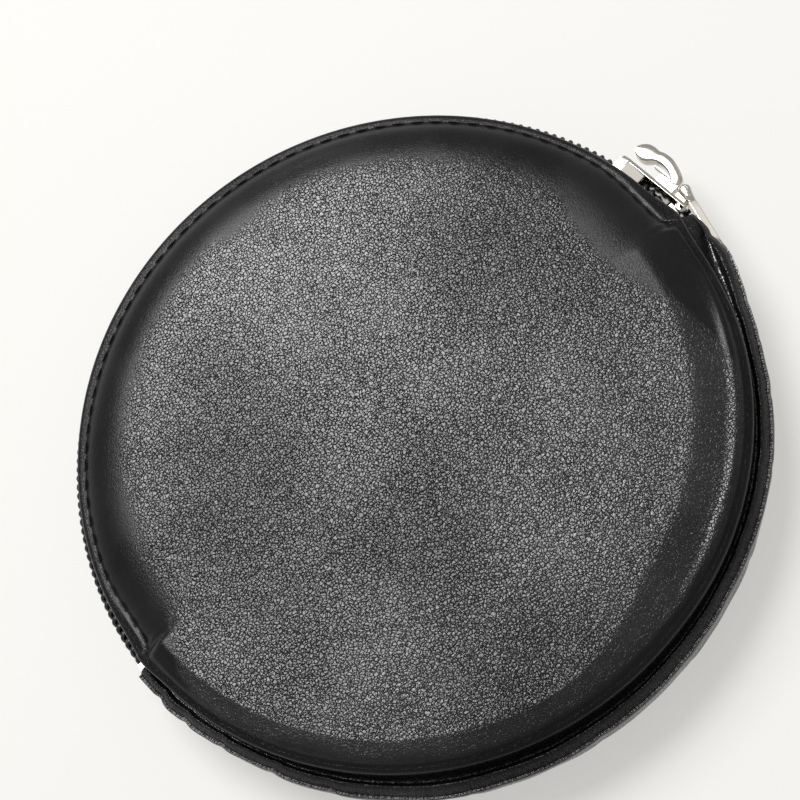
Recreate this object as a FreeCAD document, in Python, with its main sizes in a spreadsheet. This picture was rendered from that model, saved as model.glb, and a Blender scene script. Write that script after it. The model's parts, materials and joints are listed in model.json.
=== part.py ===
import FreeCAD, Part
import math
import os

import Sketcher

# A round zip coin purse lying flat. Millimetres.
# The purse's axis is Z, and its origin is the centre of the flat back face that it rests on.
# +Y points at the middle of the zip and -Y at the middle of the leather gusset.
# Angles in the plane of the purse run from +X towards +Y.

DRIVING_SIZES = {
    # the two padded leather faces
    "thickness": 16.0,
    "flat_radius": 37.0,
    "crease_radius": 44.6,
    "crease_rise": 2.6,
    "crease_undercut": 0.6,
    "edge_radius": 47.0,
    "edge_rise": 3.0,
    "leather": 1.0,
    "shoulder_bend": 12.4,
    "padding": 1.4,
    "padding_radius": 42.2,
    "board": 0.8,
    "board_radius": 42.0,
    "lining": 0.5,
    "lining_radius": 43.3,
    # the leather gusset that closes the half of the rim without a zip
    "gusset_start": 183.0,
    "gusset_sweep": 174.0,
    "gusset_radius": 49.3,
    "gusset_turn_in": 44.0,
    "gusset_leather": 0.9,
    "gusset_corner": 1.5,
    "gusset_lining_radius": 45.9,
    "gusset_lining_margin": 1.2,
    "assembly_gap": 0.08,
    "tab_sweep": 4.6,
    "tab_radius": 46.9,
    "tab_thickness": 0.8,
    "tab_margin": 1.4,
    # the zip: woven tapes, coils and stops
    "tape": 0.4,
    "tape_foot_radius": 43.7,
    "tape_radius": 46.6,
    "tape_gap": 1.0,
    "zip_start": -2.9,
    "zip_sweep": 185.8,
    "coil_inner": 46.68,
    "coil_outer": 48.6,
    "coil_half_width": 2.1,
    "coil_gap": 0.05,
    "coil_start": 2.9,
    "coil_sweep": 178.4,
    "stop_start": -0.9,
    "stop_sweep": 2.0,
    "stop_inner": 1.2,
    "stop_outer": 2.0,
    "bottom_stop_start": 181.5,
    "bottom_stop_sweep": 1.3,
    # the slider, drawn across the zip at angle zero and then turned to its place
    "slider_angle": 5.5,
    "slider_half_length": 6.7,
    "slider_nose_half_width": 3.1,
    "slider_tail_half_width": 2.95,
    "slider_notch": 1.1,
    "slider_nose_corner": 0.8,
    "slider_nose_tip": 1.5,
    "slider_tail_corner": 1.5,
    "outer_plate_under": 48.85,
    "plate": 0.55,
    "inner_plate_top": 45.65,
    "flange_bottom": 46.95,
    "flange_start": 1.7,
    "flange_inner": 2.4,
    "wing_bottom": 47.9,
    "wing_start": -5.9,
    "wing_end": -4.9,
    "diamond_half_width": 0.8,
    "diamond_tail": -2.6,
    "lug_middle": -3.6,
    "lug_reach": 0.95,
    "lug_height": 2.7,
    "lug_half_width": 0.65,
    "hinge_radius": 51.25,
    "lug_bore": 0.46,
    # the bridge in side view: distances along the slider, and rises above its outer plate
    "bridge_half_width": 0.95,
    "bridge_front": -2.4,
    "bridge_front_rise": 2.7,
    "bridge_brow": -0.5,
    "bridge_brow_rise": 3.9,
    "bridge_crown": 1.4,
    "bridge_crown_rise": 4.45,
    "bridge_shoulder": 4.6,
    "bridge_shoulder_rise": 4.2,
    "bridge_back": 6.5,
    "bridge_back_rise": 3.1,
    "bridge_head_under_rise": 1.5,
    "bridge_head_heel": 6.1,
    "bridge_head_toe": 4.0,
    "bridge_arch_end": 3.4,
    "bridge_arch_rise": 2.4,
    "bridge_arch_top": 2.0,
    "bridge_arch_top_rise": 2.7,
    "bridge_crotch": -0.6,
    "bridge_crotch_rise": 2.3,
    "block_rise": 1.75,
    "block_back": 1.15,
    "spring": 0.15,
    "spring_half_width": 0.55,
    "spring_rise": 2.0,
    "spring_back": 2.6,
    # the pull tab, drawn along +X from its hinge
    "pull_direction": -102.0,
    "pull_length": 14.0,
    "pull_half_width": 2.0,
    "pull_half_thickness": 0.55,
    "pull_tip_half_thickness": 0.17,
    "pull_eye_radius": 0.95,
    "pull_neck": 1.05,
    "pull_slot_start": -2.0,
    "pull_slot_half_width": 0.78,
    "pull_slot_reach": 1.75,
    "pull_corner": 0.9,
    "pull_corner_reach": 1.0,
    "pin_radius": 0.4,
    # thread
    "thread_radius": 0.2,
    "stitch_pitch": 2.75,
    "stitch_length": 2.0,
    "topstitch_radius": 45.7,
    "seam_radius": 44.75,
    "seam_lift": 0.05,
    "seam_margin": 2.0,
}

PARTS_FOLDER = "parts"

# an arc's radius has to be a little more than half the distance between its ends
BARELY_MORE = 1.0001


class Size:
    """A length or angle with its value and the expression that ties it to the sheet."""

    def __init__(self, value, text):
        self.value = value
        self.text = text

    def __add__(self, other):
        other = as_size(other)
        return Size(self.value + other.value, f"({self.text} + {other.text})")

    def __sub__(self, other):
        other = as_size(other)
        return Size(self.value - other.value, f"({self.text} - {other.text})")

    def __mul__(self, number):
        return Size(self.value * number, f"({self.text} * {number})")

    def __neg__(self):
        return Size(-self.value, f"(0 - {self.text})")


def as_size(value):
    return value if isinstance(value, Size) else Size(float(value), f"({value})")


def make_sheet(doc):
    sheet = doc.addObject("Spreadsheet::Sheet", "Sizes")
    for row, (alias, value) in enumerate(DRIVING_SIZES.items(), start=1):
        sheet.set(f"A{row}", alias)
        sheet.set(f"B{row}", str(value))
        sheet.setAlias(f"B{row}", alias)
    doc.recompute()
    return {alias: Size(float(getattr(sheet, alias)), f"Sizes.{alias}") for alias in DRIVING_SIZES}


# ---- helpers for sketches and features ----


def new_body(doc, label):
    body = doc.addObject("PartDesign::Body", label)
    body.Label = label
    return body


def plane_of(body, role):
    return next(plane for plane in body.Origin.OriginFeatures if plane.Role == role)


def new_sketch(body, role, offset=None):
    sketch = body.newObject("Sketcher::SketchObject", f"{body.Label}_outline")
    sketch.AttachmentSupport = [(plane_of(body, role), "")]
    sketch.MapMode = "FlatFace"
    if offset is not None:
        sketch.setExpression(".AttachmentOffset.Base.z", offset.text)
    return sketch


def pin_point(sketch, edge, end, point):
    """Tie one end of a sketch edge to a place given by two sizes."""
    for direction, size in zip(("DistanceX", "DistanceY"), point):
        index = sketch.addConstraint(Sketcher.Constraint(direction, -1, 1, edge, end, size.value))
        sketch.setExpression(f"Constraints[{index}]", size.text)


def arc_between(start, end, radius):
    """Counter-clockwise arc of the given radius from start to end."""
    middle = (start + end) * 0.5
    chord = end - start
    sagitta_side = FreeCAD.Vector(-chord.y, chord.x, 0).normalize()
    reach = math.sqrt(radius**2 - (chord.Length / 2) ** 2)
    centre = middle + sagitta_side * reach
    first = math.atan2(start.y - centre.y, start.x - centre.x)
    last = math.atan2(end.y - centre.y, end.x - centre.x)
    return Part.ArcOfCircle(Part.Circle(centre, FreeCAD.Vector(0, 0, 1), radius), first, last)


def draw_outline(sketch, points, bends=None):
    """Closed outline through the points, each an (x, y) pair of sizes.

    bends maps the number of an edge to the radius of the arc that replaces the straight line. A
    positive radius turns counter-clockwise from the edge's first point, a negative one clockwise.
    """
    bends = bends or {}
    points = [tuple(as_size(value) for value in point) for point in points]
    vectors = [FreeCAD.Vector(x.value, y.value, 0) for x, y in points]
    ends = []
    for index, start in enumerate(vectors):
        end = vectors[(index + 1) % len(vectors)]
        if index not in bends:
            edge = sketch.addGeometry(Part.LineSegment(start, end), False)
            ends.append((edge, 1, 2))
            continue
        radius = bends[index]
        if radius.value > 0:
            edge = sketch.addGeometry(arc_between(start, end, radius.value), False)
            ends.append((edge, 1, 2))
        else:
            edge = sketch.addGeometry(arc_between(end, start, -radius.value), False)
            ends.append((edge, 2, 1))
            radius = -radius
        constraint = sketch.addConstraint(Sketcher.Constraint("Radius", edge, radius.value))
        sketch.setExpression(f"Constraints[{constraint}]", radius.text)
    for index, (edge, _, last) in enumerate(ends):
        following, first, _ = ends[(index + 1) % len(ends)]
        sketch.addConstraint(Sketcher.Constraint("Coincident", edge, last, following, first))
        pin_point(sketch, following, first, points[(index + 1) % len(points)])


def revolve(body, sketch, sweep=None):
    feature = body.newObject("PartDesign::Revolution", f"{body.Label}_revolution")
    feature.Profile = sketch
    feature.ReferenceAxis = (sketch, ["V_Axis"])
    feature.Angle = 360.0 if sweep is None else sweep.value
    if sweep is not None:
        feature.setExpression("Angle", sweep.text)
    return feature


def pad(body, sketch, length):
    feature = body.newObject("PartDesign::Pad", f"{body.Label}_pad")
    feature.Profile = sketch
    feature.Length = length.value
    feature.setExpression("Length", length.text)
    return feature


def pocket_both_ways(body, sketch):
    feature = body.newObject("PartDesign::Pocket", f"{body.Label}_pocket")
    feature.Profile = sketch
    feature.Type = "ThroughAll"
    feature.Midplane = True
    return feature


def turned(angle, height=0.0):
    """Placement turned about the purse's axis."""
    axis = FreeCAD.Vector(0, 0, 1)
    return FreeCAD.Placement(FreeCAD.Vector(0, 0, height), FreeCAD.Rotation(axis, angle))


def ring(doc, label, points, start=None, sweep=None, bends=None):
    """Body of revolution about the purse's axis, whole or counter-clockwise from a start angle."""
    body = new_body(doc, label)
    sketch = new_sketch(body, "XZ_Plane")
    draw_outline(sketch, points, bends)
    revolve(body, sketch, sweep)
    if start is not None:
        body.Placement = turned(start.value)
    return body


def rectangle(low, high):
    (x_low, y_low), (x_high, y_high) = low, high
    return [(x_low, y_low), (x_high, y_low), (x_high, y_high), (x_low, y_high)]


# ---- the two leather halves ----


class Half:
    """The back half lies on the ground, and the front half is its mirror image."""

    def __init__(self, name, size):
        self.name = name
        self.size = size
        self.is_front = name == "front"

    def level(self, height):
        height = as_size(height)
        return self.size["thickness"] - height if self.is_front else height

    def bend(self, radius):
        return -radius if self.is_front else radius


def add_panel(doc, half, s):
    """Leather face pulled down over its padding to a crease, with a flat seam edge outside it."""
    leather = s["leather"]
    points = [
        (0, half.level(0)),
        (s["flat_radius"], half.level(0)),
        (s["crease_radius"], half.level(s["crease_rise"])),
        (s["edge_radius"], half.level(s["edge_rise"])),
        (s["edge_radius"], half.level(s["edge_rise"] + leather)),
        (s["crease_radius"] - s["crease_undercut"], half.level(s["crease_rise"] + leather)),
        (s["flat_radius"], half.level(leather)),
        (0, half.level(leather)),
    ]
    outer_bend = half.bend(s["shoulder_bend"])
    inner_bend = half.bend(-(s["shoulder_bend"] - leather))
    return ring(doc, f"{half.name}_panel", points, bends={1: outer_bend, 5: inner_bend})


def add_padding(doc, half, s):
    under = s["leather"]
    top = under + s["padding"]
    points = [
        (0, half.level(under)),
        (s["flat_radius"], half.level(under)),
        (s["padding_radius"], half.level(top)),
        (0, half.level(top)),
    ]
    return ring(doc, f"{half.name}_padding", points)


def add_board(doc, half, s):
    under = s["leather"] + s["padding"]
    low = (0, half.level(under))
    high = (s["board_radius"], half.level(under + s["board"]))
    return ring(doc, f"{half.name}_board", rectangle(low, high))


def add_lining(doc, half, s):
    under = s["leather"] + s["padding"] + s["board"]
    low = (0, half.level(under))
    high = (s["lining_radius"], half.level(under + s["lining"]))
    return ring(doc, f"{half.name}_lining", rectangle(low, high))


def add_tape(doc, half, s):
    """Woven tape: a foot sewn under the leather edge, turned up to carry the coil."""
    foot = s["edge_rise"] + s["leather"] + s["assembly_gap"]
    points = [
        (s["tape_foot_radius"], half.level(foot)),
        (s["tape_radius"], half.level(foot)),
        (s["tape_radius"], half.level(s["thickness"] * 0.5 - s["tape_gap"])),
        (s["tape_radius"] - s["tape"], half.level(s["thickness"] * 0.5 - s["tape_gap"])),
        (s["tape_radius"] - s["tape"], half.level(foot + s["tape"])),
        (s["tape_foot_radius"], half.level(foot + s["tape"])),
    ]
    return ring(doc, f"{half.name}_zip_tape", points, s["zip_start"], s["zip_sweep"])


def add_coil(doc, half, s):
    middle = s["thickness"] * 0.5
    low = (s["coil_inner"], half.level(middle - s["coil_half_width"]))
    high = (s["coil_outer"], half.level(middle - s["coil_gap"]))
    return ring(doc, f"{half.name}_zip_coil", rectangle(low, high), s["coil_start"], s["coil_sweep"])


def add_top_stop(doc, half, s):
    middle = s["thickness"] * 0.5
    low = (s["coil_inner"], half.level(middle - s["stop_outer"]))
    high = (s["coil_outer"], half.level(middle - s["stop_inner"]))
    return ring(doc, f"{half.name}_top_stop", rectangle(low, high), s["stop_start"], s["stop_sweep"])


def panel_surface(s, radius):
    """Height of the seam edge's outer surface above the resting face."""
    run = s["edge_radius"].value - s["crease_radius"].value
    share = (radius - s["crease_radius"].value) / run
    return s["crease_rise"].value + share * (s["edge_rise"].value - s["crease_rise"].value)


def stitch_row(s, radius, height, first, last):
    """Short lengths of thread laid end to end round an arc."""
    pitch = math.degrees(s["stitch_pitch"].value / radius)
    count = int((last - first) / pitch)
    length = s["stitch_length"].value
    stitches = []
    for number in range(count):
        angle = math.radians(first + (number + 0.5) * pitch)
        outward = FreeCAD.Vector(math.cos(angle), math.sin(angle), 0)
        along = FreeCAD.Vector(-math.sin(angle), math.cos(angle), 0)
        base = outward * radius + FreeCAD.Vector(0, 0, height) - along * (length / 2)
        stitches.append(Part.makeCylinder(s["thread_radius"].value, length, base, along))
    return Part.makeCompound(stitches)


def add_thread(doc, label, shape):
    thread = doc.addObject("Part::Feature", label)
    thread.Label = label
    thread.Shape = shape
    thread.Placement = FreeCAD.Placement()
    return thread


def add_topstitching(doc, half, s):
    """Row of stitches that sews the leather edge to the zip tape."""
    radius = s["topstitch_radius"].value
    clear = s["thread_radius"].value + s["assembly_gap"].value
    height = half.level(panel_surface(s, radius) - clear).value
    last = s["zip_start"].value + s["zip_sweep"].value
    row = stitch_row(s, radius, height, s["zip_start"].value, last)
    return add_thread(doc, f"{half.name}_topstitching", row)


def add_gusset_seam(doc, half, s):
    """Hidden stitches along the turned-in edge of the gusset."""
    turn_in = s["edge_rise"].value + s["leather"].value + s["gusset_leather"].value
    lift = s["assembly_gap"].value + s["seam_lift"].value + s["thread_radius"].value
    height = half.level(turn_in + lift).value
    first = s["gusset_start"].value + s["seam_margin"].value
    last = s["gusset_start"].value + s["gusset_sweep"].value - s["seam_margin"].value
    row = stitch_row(s, s["seam_radius"].value, height, first, last)
    return add_thread(doc, f"{half.name}_gusset_seam", row)


def add_half(doc, half, s):
    makers = (add_panel, add_padding, add_board, add_lining, add_tape, add_coil, add_top_stop,
              add_topstitching, add_gusset_seam)
    return [make(doc, half, s) for make in makers]


# ---- what joins the halves ----


def add_gusset(doc, s):
    """Leather wall with both edges turned in under the faces."""
    outer = s["gusset_radius"]
    inner = outer - s["gusset_leather"]
    corner = s["gusset_corner"]
    low = s["edge_rise"] + s["leather"] + s["assembly_gap"]
    high = s["thickness"] - low
    points = [
        (s["gusset_turn_in"], low),
        (outer - corner, low),
        (outer, low + corner),
        (outer, high - corner),
        (outer - corner, high),
        (s["gusset_turn_in"], high),
        (s["gusset_turn_in"], high - s["gusset_leather"]),
        (inner - corner, high - s["gusset_leather"]),
        (inner, high - s["gusset_leather"] - corner),
        (inner, low + s["gusset_leather"] + corner),
        (inner - corner, low + s["gusset_leather"]),
        (s["gusset_turn_in"], low + s["gusset_leather"]),
    ]
    return ring(doc, "gusset", points, s["gusset_start"], s["gusset_sweep"])


def add_gusset_lining(doc, s):
    low_level = s["edge_rise"] + s["leather"] + s["gusset_lining_margin"]
    low = (s["gusset_lining_radius"] - s["lining"], low_level)
    high = (s["gusset_lining_radius"], s["thickness"] - low_level)
    return ring(doc, "gusset_lining", rectangle(low, high), s["gusset_start"], s["gusset_sweep"])


def add_zip_end_tab(doc, label, start, s):
    """Folded tab between gusset and lining that holds the ends of both tapes."""
    low_level = s["edge_rise"] + s["leather"] + s["tab_margin"]
    low = (s["tab_radius"] - s["tab_thickness"], low_level)
    high = (s["tab_radius"], s["thickness"] - low_level)
    return ring(doc, label, rectangle(low, high), start, s["tab_sweep"])


def add_bottom_stop(doc, s):
    middle = s["thickness"] * 0.5
    low = (s["coil_inner"], middle - s["stop_outer"])
    high = (s["coil_outer"], middle + s["stop_outer"])
    start = s["bottom_stop_start"]
    return ring(doc, "zip_bottom_stop", rectangle(low, high), start, s["bottom_stop_sweep"])


# ---- slider ----


def plate_outline(s):
    """Slider plate: two pointed wings at the nose, a narrower square tail with cut corners."""
    nose = -s["slider_half_length"]
    tail = s["slider_half_length"]
    wide = s["slider_nose_half_width"]
    narrow = s["slider_tail_half_width"]
    nose_corner = s["slider_nose_corner"]
    nose_tip = s["slider_nose_tip"]
    tail_corner = s["slider_tail_corner"]
    return [
        (nose + s["slider_notch"], as_size(0)),
        (nose, nose_tip),
        (nose + nose_corner, wide),
        (s["flange_start"], narrow),
        (tail - tail_corner, narrow),
        (tail, narrow - tail_corner),
        (tail, tail_corner - narrow),
        (tail - tail_corner, -narrow),
        (s["flange_start"], -narrow),
        (nose + nose_corner, -wide),
        (nose, -nose_tip),
    ]


def add_slider_body(doc, s):
    """Two plates joined by a diamond at the nose, with walls at the tail and a lug for the pull."""
    body = new_body(doc, "slider_body")
    under = s["outer_plate_under"]

    def grow(outline, base, length):
        sketch = new_sketch(body, "YZ_Plane", base)
        draw_outline(sketch, outline)
        pad(body, sketch, length)
        doc.recompute()

    grow(plate_outline(s), under, s["plate"])
    wall_end = s["slider_half_length"] - s["slider_tail_corner"]
    for side in (1, -1):
        inner = s["flange_inner"] * side
        wall = rectangle((s["flange_start"], inner), (wall_end, s["slider_tail_half_width"] * side))
        grow(wall, s["flange_bottom"], under - s["flange_bottom"])
        wing = rectangle((s["wing_start"], inner), (s["wing_end"], s["slider_nose_half_width"] * side))
        grow(wing, s["wing_bottom"], under - s["wing_bottom"])
    nose = -s["slider_half_length"] + s["slider_notch"]
    middle = (nose + s["diamond_tail"]) * 0.5
    diamond = [
        (nose, as_size(0)),
        (middle, s["diamond_half_width"]),
        (s["diamond_tail"], as_size(0)),
        (middle, -s["diamond_half_width"]),
    ]
    grow(diamond, s["inner_plate_top"], under - s["inner_plate_top"])
    grow(plate_outline(s), s["inner_plate_top"] - s["plate"], s["plate"])
    lug = rectangle(
        (s["lug_middle"] - s["lug_reach"], -s["lug_half_width"]),
        (s["lug_middle"] + s["lug_reach"], s["lug_half_width"]),
    )
    grow(lug, under + s["plate"], s["lug_height"])
    drill_lug(doc, body, s)
    body.Placement = turned(s["slider_angle"].value, s["thickness"].value / 2)
    return body


def drill_lug(doc, body, s):
    """Bore through the lug for the pull's pin."""
    sketch = new_sketch(body, "XY_Plane")
    centre = FreeCAD.Vector(s["hinge_radius"].value, s["lug_middle"].value, 0)
    circle = Part.Circle(centre, FreeCAD.Vector(0, 0, 1), s["lug_bore"].value)
    edge = sketch.addGeometry(circle, False)
    pin_point(sketch, edge, 3, (s["hinge_radius"], s["lug_middle"]))
    index = sketch.addConstraint(Sketcher.Constraint("Radius", edge, s["lug_bore"].value))
    sketch.setExpression(f"Constraints[{index}]", s["lug_bore"].text)
    doc.recompute()
    before = body.Shape.Volume
    pocket_both_ways(body, sketch)
    doc.recompute()
    if body.Shape.Volume >= before:
        raise RuntimeError("the lug's bore cut nothing")


def flat_profile(doc, label, points, half_width, s, bends=None):
    """Slider piece drawn in side view and given the same width to both sides."""
    body = new_body(doc, label)
    sketch = new_sketch(body, "XY_Plane", -half_width)
    draw_outline(sketch, points, bends)
    pad(body, sketch, half_width * 2)
    body.Placement = turned(s["slider_angle"].value, s["thickness"].value / 2)
    return body


def add_slider_bridge(doc, s):
    """Strap sprung over the slider: a block on the plate, and a thick free head above the tail."""
    base = s["outer_plate_under"] + s["plate"]
    points = [
        (base, s["bridge_front"]),
        (base + s["bridge_front_rise"], s["bridge_front"]),
        (base + s["bridge_brow_rise"], s["bridge_brow"]),
        (base + s["bridge_crown_rise"], s["bridge_crown"]),
        (base + s["bridge_shoulder_rise"], s["bridge_shoulder"]),
        (base + s["bridge_back_rise"], s["bridge_back"]),
        (base + s["bridge_head_under_rise"], s["bridge_head_heel"]),
        (base + s["bridge_head_under_rise"], s["bridge_head_toe"]),
        (base + s["bridge_arch_rise"], s["bridge_arch_end"]),
        (base + s["bridge_arch_top_rise"], s["bridge_arch_top"]),
        (base + s["bridge_crotch_rise"], s["bridge_crotch"]),
        (base + s["block_rise"], s["bridge_crotch"]),
        (base + s["block_rise"], s["block_back"]),
        (base, s["block_back"]),
    ]
    return flat_profile(doc, "slider_bridge", points, s["bridge_half_width"], s)


def add_lock_spring(doc, s):
    """Leaf spring under the bridge that holds the slider where it is left."""
    low = s["outer_plate_under"] + s["plate"] + s["spring_rise"]
    points = rectangle((low, s["bridge_crotch"]), (low + s["spring"], s["spring_back"]))
    return flat_profile(doc, "slider_lock_spring", points, s["spring_half_width"], s)


def hinge_place(s):
    """Where the pull's hinge stands, and which way the pull points at rest."""
    slider = turned(s["slider_angle"].value, s["thickness"].value / 2)
    local = FreeCAD.Vector(s["hinge_radius"].value, s["lug_middle"].value, 0)
    turn = FreeCAD.Rotation(FreeCAD.Vector(0, 0, 1), s["pull_direction"].value)
    return FreeCAD.Placement(slider.multVec(local), turn)


def add_pull_tab(doc, s):
    """Flat metal tab with a forked eye that straddles the slider's lug."""
    body = new_body(doc, "pull_tab")
    width = s["pull_half_width"]
    thick = s["pull_half_thickness"]
    eye = s["pull_eye_radius"]
    tip = s["pull_tip_half_thickness"]
    neck = s["pull_neck"]
    length = s["pull_length"]
    sketch = new_sketch(body, "XY_Plane", -width)
    side_view = [
        (as_size(0), -eye),
        (neck, -thick),
        (length - thick, -thick),
        (length, -tip),
        (length, tip),
        (length - thick, thick),
        (neck, thick),
        (as_size(0), eye),
    ]
    draw_outline(sketch, side_view, bends={7: eye * BARELY_MORE})
    pad(body, sketch, width * 2)
    doc.recompute()
    cut_pull(doc, body, s)
    body.Placement = hinge_place(s)
    return body


def cut_pull(doc, body, s):
    """Open the fork, bore the eye and cut the tab's corners."""
    slot = new_sketch(body, "XZ_Plane")
    slot_half = s["pull_slot_half_width"]
    draw_outline(slot, rectangle((s["pull_slot_start"], -slot_half), (s["pull_slot_reach"], slot_half)))
    pocket_both_ways(body, slot)
    doc.recompute()
    for side in (1, -1):
        corner = new_sketch(body, "XZ_Plane")
        tip = s["pull_length"]
        edge = s["pull_half_width"] * side
        cut = [(tip, edge), (tip - s["pull_corner"], edge), (tip, edge - s["pull_corner_reach"] * side)]
        draw_outline(corner, cut)
        pocket_both_ways(body, corner)
        doc.recompute()
    bore = new_sketch(body, "XY_Plane")
    circle = Part.Circle(FreeCAD.Vector(), FreeCAD.Vector(0, 0, 1), s["pin_radius"].value)
    edge = bore.addGeometry(circle, False)
    bore.addConstraint(Sketcher.Constraint("Coincident", edge, 3, -1, 1))
    index = bore.addConstraint(Sketcher.Constraint("Radius", edge, s["pin_radius"].value))
    bore.setExpression(f"Constraints[{index}]", s["pin_radius"].text)
    before = body.Shape.Volume
    pocket_both_ways(body, bore)
    doc.recompute()
    if body.Shape.Volume >= before:
        raise RuntimeError("the pull's eye was not bored")


def add_pull_pin(doc, s):
    pin = doc.addObject("Part::Cylinder", "pull_pin")
    pin.Label = "pull_pin"
    pin.setExpression("Radius", s["pin_radius"].text)
    pin.setExpression("Height", (s["pull_half_width"] * 2).text)
    place = hinge_place(s)
    place.Base = place.Base - FreeCAD.Vector(0, 0, s["pull_half_width"].value)
    pin.Placement = place
    return pin


# ---- the whole purse ----


def check(doc, pieces):
    for thing in doc.Objects:
        if {"Invalid", "Error"} & set(thing.State):
            raise RuntimeError(f"{thing.Label} did not compute")
    for piece in pieces:
        if piece.Shape.isNull() or not piece.Shape.isValid():
            raise RuntimeError(f"{piece.Label} has no valid shape")


def write(pieces):
    os.makedirs(PARTS_FOLDER, exist_ok=True)
    for piece in pieces:
        piece.Shape.exportStep(os.path.join(PARTS_FOLDER, f"{piece.Label}.step"))
        print(f"{piece.Label}: {piece.Shape.Volume:.1f} mm3")


def main():
    doc = FreeCAD.newDocument("coin_purse")
    s = make_sheet(doc)
    pieces = []
    for name in ("back", "front"):
        pieces += add_half(doc, Half(name, s), s)
    far_tab_start = s["gusset_start"] + s["assembly_gap"]
    near_tab_start = s["gusset_start"] + s["gusset_sweep"] - s["tab_sweep"] - s["assembly_gap"]
    pieces += [
        add_gusset(doc, s),
        add_gusset_lining(doc, s),
        add_zip_end_tab(doc, "far_zip_end_tab", far_tab_start, s),
        add_zip_end_tab(doc, "near_zip_end_tab", near_tab_start, s),
        add_bottom_stop(doc, s),
        add_slider_body(doc, s),
        add_slider_bridge(doc, s),
        add_lock_spring(doc, s),
        add_pull_tab(doc, s),
        add_pull_pin(doc, s),
    ]
    doc.recompute()
    check(doc, pieces)
    write(pieces)


main()
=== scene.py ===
import json
import math
import random
from collections import namedtuple

import bmesh
import bpy
from mathutils import Matrix, Vector, noise


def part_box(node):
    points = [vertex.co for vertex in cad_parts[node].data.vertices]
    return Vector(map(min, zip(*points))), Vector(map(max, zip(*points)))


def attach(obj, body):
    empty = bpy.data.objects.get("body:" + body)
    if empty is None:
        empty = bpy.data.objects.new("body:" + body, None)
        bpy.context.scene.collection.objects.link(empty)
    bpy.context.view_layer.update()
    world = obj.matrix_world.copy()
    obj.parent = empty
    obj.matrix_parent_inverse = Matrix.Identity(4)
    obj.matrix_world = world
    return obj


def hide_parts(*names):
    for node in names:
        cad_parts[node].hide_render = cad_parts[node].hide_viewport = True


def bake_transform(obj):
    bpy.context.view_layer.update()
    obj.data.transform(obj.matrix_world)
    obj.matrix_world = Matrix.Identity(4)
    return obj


# A round zip coin purse in black leather, lying on its back face. Sizes below are millimetres,
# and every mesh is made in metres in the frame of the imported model.

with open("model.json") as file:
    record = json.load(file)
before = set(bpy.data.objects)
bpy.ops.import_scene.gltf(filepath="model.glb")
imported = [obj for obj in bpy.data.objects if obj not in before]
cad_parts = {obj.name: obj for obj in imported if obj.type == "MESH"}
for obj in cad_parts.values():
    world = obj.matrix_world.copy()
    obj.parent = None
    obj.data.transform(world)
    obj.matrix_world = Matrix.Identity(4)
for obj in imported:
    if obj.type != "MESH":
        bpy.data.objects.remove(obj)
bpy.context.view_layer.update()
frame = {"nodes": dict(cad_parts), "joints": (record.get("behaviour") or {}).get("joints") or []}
MM = 0.001
random.seed(11)


def box_mm(node):
    low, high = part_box(node)
    return low / MM, high / MM


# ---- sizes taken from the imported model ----

face_high = box_mm("front_panel")[1]
THICK = face_high.z
EDGE_R = face_high.x
SEAM_LOW = box_mm("back_panel")[1].z
MID = THICK / 2
GUSSET_R = -box_mm("gusset")[0].y
coil_low, coil_high = box_mm("back_zip_coil")
COIL_OUT_R = coil_high.y
COIL_WIDTH = coil_high.z - coil_low.z
TAPE_R = box_mm("back_zip_tape")[1].y
LINING_R = box_mm("back_lining")[1].x
pad_high = box_mm("back_padding")[1]
PAD_R = pad_high.x
PAD_END = pad_high.z

# ---- sizes of the purse's own details, in millimetres and degrees ----

# leather: its thickness, how far a face's edge lies in from its middle, and where its slope begins
LEATHER = 1.0
FACE_DROP = 2.95
CROWN = 0.28
SHOULDER_START = 34.0
# radius of the turn over a face's edge
FACE_RIM = 0.85
# rings of a face, close together from the slope outwards
FACE_RADII = [1.5 * i for i in range(1, 23)] + [34.0 + 0.25 * i for i in range(49)]
# steps round the purse of a face, a lining and a foam pad
FACE_STEPS = 720
LINING_STEPS = 240
FOAM_STEPS = 180
# degrees between two sections of the gusset, and of the tapes and the gusset's lining
GUSSET_STEP = 0.4
CLOTH_STEP = 1.0
# topstitching
STITCH_R = 45.75
STITCH_PITCH = 2.75
STITCH_LENGTH = 2.0
THREAD_R = 0.155
# degrees round the rim, from the slider's end of the zip
STITCH_START = -4.3
ZIP_START = -2.9
COIL_START = 2.9
SLIDER_ANGLE = 5.5
COIL_END = 181.3
ZIP_END = 182.9
GUSSET_START = 183.0
GUSSET_END = 357.0
# the zip and the edges of the faces stand out a little round the middle of the zip
SWAY_MIDDLE = 105.0
SWAY_WIDTH = 38.0
# coil: millimetres from turn to turn, radius of the filament, and steps of a turn and of the core
COIL_PITCH = 1.33
FILAMENT_R = 0.37
TURN_STEPS = 16
CORE_STEPS = 360
# slider: half its length, its upper plate's outer side and thickness, and how square the strap is
SLIDER_HALF = 6.7
PLATE_TOP = 49.4
PLATE = 0.55
STRAP_SQUARENESS = 0.36
STRAP_POINTS = 28
# the way the pull points at rest, in degrees, and half its thickness
PULL_DIRECTION = -102.0
PULL_HALF_THICK = 0.55

# the purse's two halves: side is how their nodes' names start, outward is the way they face along Z,
# and seed places the unevenness of their padding
Half = namedtuple("Half", "side outward body seed")
HALVES = (Half("front", 1, "front_half", 2.0), Half("back", -1, "back_half", 7.0))


def level_in(half, z):
    """A height drawn for the back half, or the matching one in the front half."""
    return THICK - z if half.outward > 0 else z


def section_in(half, points):
    """An outline of (radius, height) points drawn for the back half, in this half."""
    return [(r, level_in(half, z)) for r, z in points]


def smooth(low, high, value):
    t = min(1.0, max(0.0, (value - low) / (high - low)))
    return t * t * (3 - 2 * t)


def bump_at(value, centre, width):
    return math.exp(-(((value - centre) / width) ** 2))


def polar(radius, angle, height):
    turn = math.radians(angle)
    return Vector((radius * math.cos(turn), radius * math.sin(turn), height)) * MM


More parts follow.
